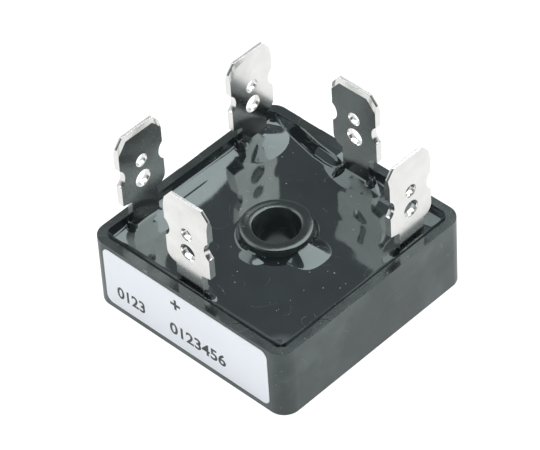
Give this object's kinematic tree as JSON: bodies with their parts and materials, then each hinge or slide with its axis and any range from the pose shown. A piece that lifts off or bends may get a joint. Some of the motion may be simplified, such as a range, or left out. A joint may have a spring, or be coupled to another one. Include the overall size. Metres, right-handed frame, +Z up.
{
  "type": "three-phase bridge rectifier",
  "caption": "Square black potted power rectifier with a raised screw bush in the middle, upright push-on blade terminals along its edges and a white side label.",
  "frame": {"origin": "centre of the screw hole on the mounting face, which is also the middle of the square base", "axes": "+Z up along the screw hole, out of the resin side; -Y out of the side with the label; +X to the right when looking at the label"},
  "size_m": [0.0286, 0.0286, 0.0217],
  "materials": {
    "case_plastic": "fine-textured black moulding, satin",
    "base_metal": "plain flat plate, fine brushed",
    "bush_plastic": "smooth black moulding",
    "ceramic": "matt white fired sheet",
    "copper_bus": "bare copper, dull",
    "silicon": "dark passivated silicon chip",
    "solder": "dull tin solder",
    "plated_blade": "bright tin plating over brass, fine rolling lines",
    "potting": "glossy cast resin with curved edges",
    "label_face": "smooth white label stock"
  },
  "bodies": {
    "root": {"case": "case_plastic", "base_plate": "base_metal", "screw_bush": "bush_plastic", "insulator": "ceramic", "plus_bus": "copper_bus", "minus_bus": "copper_bus", "lower_diode_1": "silicon", "lower_diode_2": "silicon", "lower_diode_3": "silicon", "upper_diode_1": "silicon", "upper_diode_2": "silicon", "upper_diode_3": "silicon", "solder_pads": "solder", "plus_terminal": "plated_blade", "minus_terminal": "plated_blade", "ac_terminal_1": "plated_blade", "ac_terminal_2": "plated_blade", "ac_terminal_3": "plated_blade", "potting_resin": "potting", "label": "label_face"}
  },
  "joints": []
}
